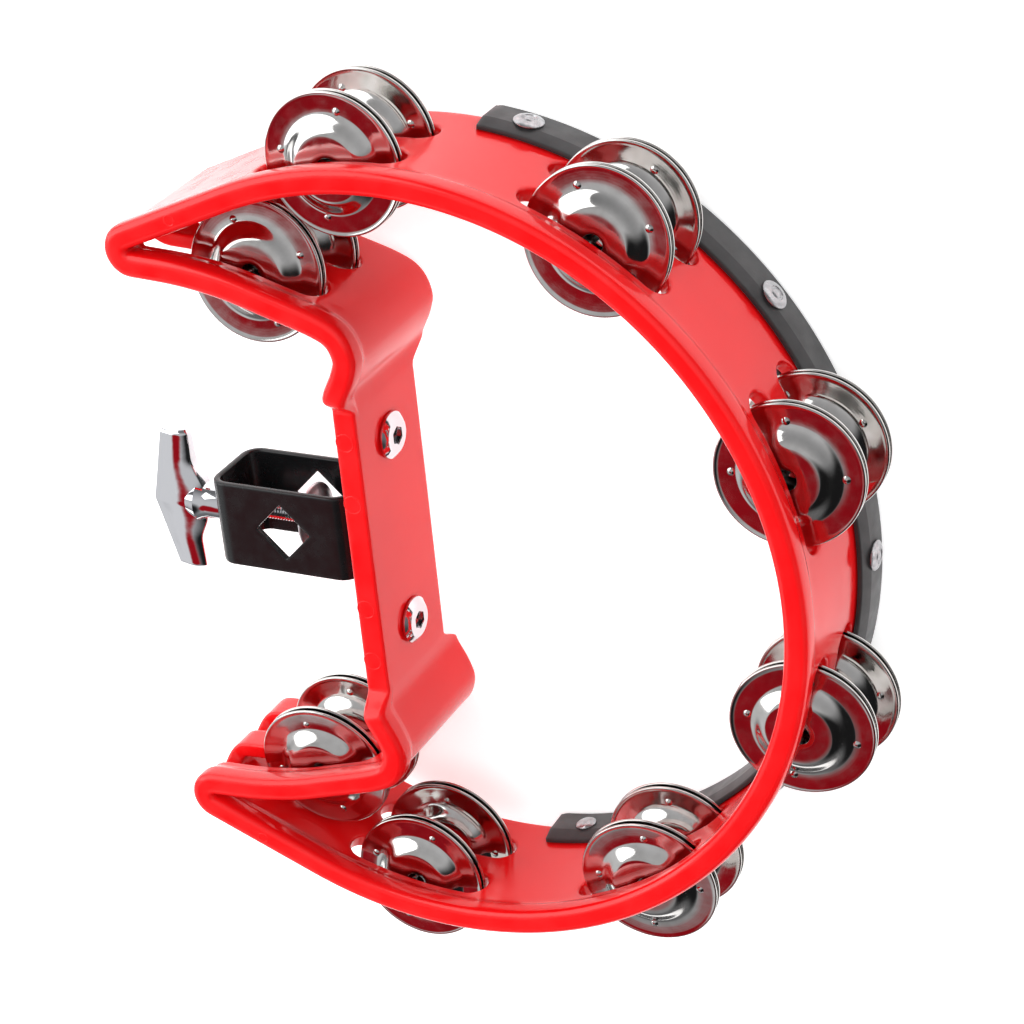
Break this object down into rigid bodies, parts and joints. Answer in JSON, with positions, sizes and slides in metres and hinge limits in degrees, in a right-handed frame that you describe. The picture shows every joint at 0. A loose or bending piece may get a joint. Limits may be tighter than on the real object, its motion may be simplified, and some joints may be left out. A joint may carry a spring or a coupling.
{
  "type": "tambourine",
  "caption": "Half-moon tambourine: D-shaped moulded frame with two rows of jingle pairs, a riveted rubber strike strip and a screw clamp for a stand rod.",
  "frame": {"origin": "middle of the bounding box, on the underside: the strike strip's far face is at z = 0", "axes": "+Z along the ring's axis towards the near rim, +Y along the grip, +X from the clamp towards the round side"},
  "size_m": [0.2468, 0.2936, 0.06],
  "materials": {
    "red_abs": "glossy",
    "black_rubber": "matt",
    "black_enamel": "glossy black enamel",
    "chrome": "mirror",
    "nickel_steel": "polished nickel plate",
    "zinc_steel": "satin zinc plate"
  },
  "bodies": {
    "frame_assembly": {"frame": "red_abs", "strike_strip": "black_rubber", "strip_rivet_1": "zinc_steel", "strip_rivet_2": "zinc_steel", "strip_rivet_3": "zinc_steel", "strip_rivet_4": "zinc_steel", "strip_rivet_5": "zinc_steel", "jingle_pin_1": "nickel_steel", "jingle_pin_2": "nickel_steel", "jingle_pin_3": "nickel_steel", "jingle_pin_4": "nickel_steel", "jingle_pin_5": "nickel_steel", "jingle_pin_6": "nickel_steel", "jingle_pin_7": "nickel_steel", "jingle_pin_8": "nickel_steel", "clamp_base_plate": "black_enamel", "clamp_strap": "black_enamel", "clamp_weld_nut": "black_enamel", "grip_screw_1": "chrome", "grip_screw_2": "chrome", "grip_nut_1": "zinc_steel", "grip_nut_2": "zinc_steel"},
    "jingle_1_far_lower_disc": {"jingle_1_far_lower": "nickel_steel"},
    "jingle_1_far_upper_disc": {"jingle_1_far_upper": "nickel_steel"},
    "jingle_1_near_lower_disc": {"jingle_1_near_lower": "nickel_steel"},
    "jingle_1_near_upper_disc": {"jingle_1_near_upper": "nickel_steel"},
    "jingle_2_far_lower_disc": {"jingle_2_far_lower": "nickel_steel"},
    "jingle_2_far_upper_disc": {"jingle_2_far_upper": "nickel_steel"},
    "jingle_2_near_lower_disc": {"jingle_2_near_lower": "nickel_steel"},
    "jingle_2_near_upper_disc": {"jingle_2_near_upper": "nickel_steel"},
    "jingle_3_far_lower_disc": {"jingle_3_far_lower": "nickel_steel"},
    "jingle_3_far_upper_disc": {"jingle_3_far_upper": "nickel_steel"},
    "jingle_3_near_lower_disc": {"jingle_3_near_lower": "nickel_steel"},
    "jingle_3_near_upper_disc": {"jingle_3_near_upper": "nickel_steel"},
    "jingle_4_far_lower_disc": {"jingle_4_far_lower": "nickel_steel"},
    "jingle_4_far_upper_disc": {"jingle_4_far_upper": "nickel_steel"},
    "jingle_4_near_lower_disc": {"jingle_4_near_lower": "nickel_steel"},
    "jingle_4_near_upper_disc": {"jingle_4_near_upper": "nickel_steel"},
    "jingle_5_far_lower_disc": {"jingle_5_far_lower": "nickel_steel"},
    "jingle_5_far_upper_disc": {"jingle_5_far_upper": "nickel_steel"},
    "jingle_5_near_lower_disc": {"jingle_5_near_lower": "nickel_steel"},
    "jingle_5_near_upper_disc": {"jingle_5_near_upper": "nickel_steel"},
    "jingle_6_far_lower_disc": {"jingle_6_far_lower": "nickel_steel"},
    "jingle_6_far_upper_disc": {"jingle_6_far_upper": "nickel_steel"},
    "jingle_6_near_lower_disc": {"jingle_6_near_lower": "nickel_steel"},
    "jingle_6_near_upper_disc": {"jingle_6_near_upper": "nickel_steel"},
    "jingle_7_far_lower_disc": {"jingle_7_far_lower": "nickel_steel"},
    "jingle_7_far_upper_disc": {"jingle_7_far_upper": "nickel_steel"},
    "jingle_7_near_lower_disc": {"jingle_7_near_lower": "nickel_steel"},
    "jingle_7_near_upper_disc": {"jingle_7_near_upper": "nickel_steel"},
    "jingle_8_far_lower_disc": {"jingle_8_far_lower": "nickel_steel"},
    "jingle_8_far_upper_disc": {"jingle_8_far_upper": "nickel_steel"},
    "jingle_8_near_lower_disc": {"jingle_8_near_lower": "nickel_steel"},
    "jingle_8_near_upper_disc": {"jingle_8_near_upper": "nickel_steel"},
    "foot": {"pressure_foot": "chrome"},
    "wing_bolt": {"wing_handle": "chrome", "clamp_bolt": "chrome"}
  },
  "joints": [
    {"name": "jingle_1_far_lower_rattle", "type": "slide", "parent": "frame_assembly", "child": "jingle_1_far_lower_disc", "axis": [0, 0, 1], "range_m": [0, 0.0007]},
    {"name": "jingle_1_far_upper_rattle", "type": "slide", "parent": "frame_assembly", "child": "jingle_1_far_upper_disc", "axis": [0, 0, 1], "range_m": [-0.0007, 0.0002]},
    {"name": "jingle_1_near_lower_rattle", "type": "slide", "parent": "frame_assembly", "child": "jingle_1_near_lower_disc", "axis": [0, 0, 1], "range_m": [0, 0.0007]},
    {"name": "jingle_1_near_upper_rattle", "type": "slide", "parent": "frame_assembly", "child": "jingle_1_near_upper_disc", "axis": [0, 0, 1], "range_m": [-0.0007, 0.0002]},
    {"name": "jingle_2_far_lower_rattle", "type": "slide", "parent": "frame_assembly", "child": "jingle_2_far_lower_disc", "axis": [0, 0, 1], "range_m": [0, 0.0007]},
    {"name": "jingle_2_far_upper_rattle", "type": "slide", "parent": "frame_assembly", "child": "jingle_2_far_upper_disc", "axis": [0, 0, 1], "range_m": [-0.0007, 0.0002]},
    {"name": "jingle_2_near_lower_rattle", "type": "slide", "parent": "frame_assembly", "child": "jingle_2_near_lower_disc", "axis": [0, 0, 1], "range_m": [0, 0.0007]},
    {"name": "jingle_2_near_upper_rattle", "type": "slide", "parent": "frame_assembly", "child": "jingle_2_near_upper_disc", "axis": [0, 0, 1], "range_m": [-0.0007, 0.0002]},
    {"name": "jingle_3_far_lower_rattle", "type": "slide", "parent": "frame_assembly", "child": "jingle_3_far_lower_disc", "axis": [0, 0, 1], "range_m": [0, 0.0007]},
    {"name": "jingle_3_far_upper_rattle", "type": "slide", "parent": "frame_assembly", "child": "jingle_3_far_upper_disc", "axis": [0, 0, 1], "range_m": [-0.0007, 0.0002]},
    {"name": "jingle_3_near_lower_rattle", "type": "slide", "parent": "frame_assembly", "child": "jingle_3_near_lower_disc", "axis": [0, 0, 1], "range_m": [0, 0.0007]},
    {"name": "jingle_3_near_upper_rattle", "type": "slide", "parent": "frame_assembly", "child": "jingle_3_near_upper_disc", "axis": [0, 0, 1], "range_m": [-0.0007, 0.0002]},
    {"name": "jingle_4_far_lower_rattle", "type": "slide", "parent": "frame_assembly", "child": "jingle_4_far_lower_disc", "axis": [0, 0, 1], "range_m": [0, 0.0007]},
    {"name": "jingle_4_far_upper_rattle", "type": "slide", "parent": "frame_assembly", "child": "jingle_4_far_upper_disc", "axis": [0, 0, 1], "range_m": [-0.0007, 0.0002]},
    {"name": "jingle_4_near_lower_rattle", "type": "slide", "parent": "frame_assembly", "child": "jingle_4_near_lower_disc", "axis": [0, 0, 1], "range_m": [0, 0.0007]},
    {"name": "jingle_4_near_upper_rattle", "type": "slide", "parent": "frame_assembly", "child": "jingle_4_near_upper_disc", "axis": [0, 0, 1], "range_m": [-0.0007, 0.0002]},
    {"name": "jingle_5_far_lower_rattle", "type": "slide", "parent": "frame_assembly", "child": "jingle_5_far_lower_disc", "axis": [0, 0, 1], "range_m": [0, 0.0007]},
    {"name": "jingle_5_far_upper_rattle", "type": "slide", "parent": "frame_assembly", "child": "jingle_5_far_upper_disc", "axis": [0, 0, 1], "range_m": [-0.0007, 0.0002]},
    {"name": "jingle_5_near_lower_rattle", "type": "slide", "parent": "frame_assembly", "child": "jingle_5_near_lower_disc", "axis": [0, 0, 1], "range_m": [0, 0.0007]},
    {"name": "jingle_5_near_upper_rattle", "type": "slide", "parent": "frame_assembly", "child": "jingle_5_near_upper_disc", "axis": [0, 0, 1], "range_m": [-0.0007, 0.0002]},
    {"name": "jingle_6_far_lower_rattle", "type": "slide", "parent": "frame_assembly", "child": "jingle_6_far_lower_disc", "axis": [0, 0, 1], "range_m": [0, 0.0007]},
    {"name": "jingle_6_far_upper_rattle", "type": "slide", "parent": "frame_assembly", "child": "jingle_6_far_upper_disc", "axis": [0, 0, 1], "range_m": [-0.0007, 0.0002]},
    {"name": "jingle_6_near_lower_rattle", "type": "slide", "parent": "frame_assembly", "child": "jingle_6_near_lower_disc", "axis": [0, 0, 1], "range_m": [0, 0.0007]},
    {"name": "jingle_6_near_upper_rattle", "type": "slide", "parent": "frame_assembly", "child": "jingle_6_near_upper_disc", "axis": [0, 0, 1], "range_m": [-0.0007, 0.0002]},
    {"name": "jingle_7_far_lower_rattle", "type": "slide", "parent": "frame_assembly", "child": "jingle_7_far_lower_disc", "axis": [0, 0, 1], "range_m": [0, 0.0007]},
    {"name": "jingle_7_far_upper_rattle", "type": "slide", "parent": "frame_assembly", "child": "jingle_7_far_upper_disc", "axis": [0, 0, 1], "range_m": [-0.0007, 0.0002]},
    {"name": "jingle_7_near_lower_rattle", "type": "slide", "parent": "frame_assembly", "child": "jingle_7_near_lower_disc", "axis": [0, 0, 1], "range_m": [0, 0.0007]},
    {"name": "jingle_7_near_upper_rattle", "type": "slide", "parent": "frame_assembly", "child": "jingle_7_near_upper_disc", "axis": [0, 0, 1], "range_m": [-0.0007, 0.0002]},
    {"name": "jingle_8_far_lower_rattle", "type": "slide", "parent": "frame_assembly", "child": "jingle_8_far_lower_disc", "axis": [0, 0, 1], "range_m": [0, 0.0007]},
    {"name": "jingle_8_far_upper_rattle", "type": "slide", "parent": "frame_assembly", "child": "jingle_8_far_upper_disc", "axis": [0, 0, 1], "range_m": [-0.0007, 0.0002]},
    {"name": "jingle_8_near_lower_rattle", "type": "slide", "parent": "frame_assembly", "child": "jingle_8_near_lower_disc", "axis": [0, 0, 1], "range_m": [0, 0.0007]},
    {"name": "jingle_8_near_upper_rattle", "type": "slide", "parent": "frame_assembly", "child": "jingle_8_near_upper_disc", "axis": [0, 0, 1], "range_m": [-0.0007, 0.0002]},
    {"name": "foot_travel", "type": "slide", "parent": "frame_assembly", "child": "foot", "axis": [-1, 0, 0], "range_m": [0, 0.015]},
    {"name": "wing_turn", "type": "hinge", "parent": "foot", "child": "wing_bolt", "pos_m": [-0.10294, 0, 0.033], "axis": [-1, 0, 0], "range_deg": [0, 5401]}
  ],
  "couplings": [
    {"joint": "wing_turn", "follows": "foot_travel", "rad_per_m": 6283.2}
  ]
}
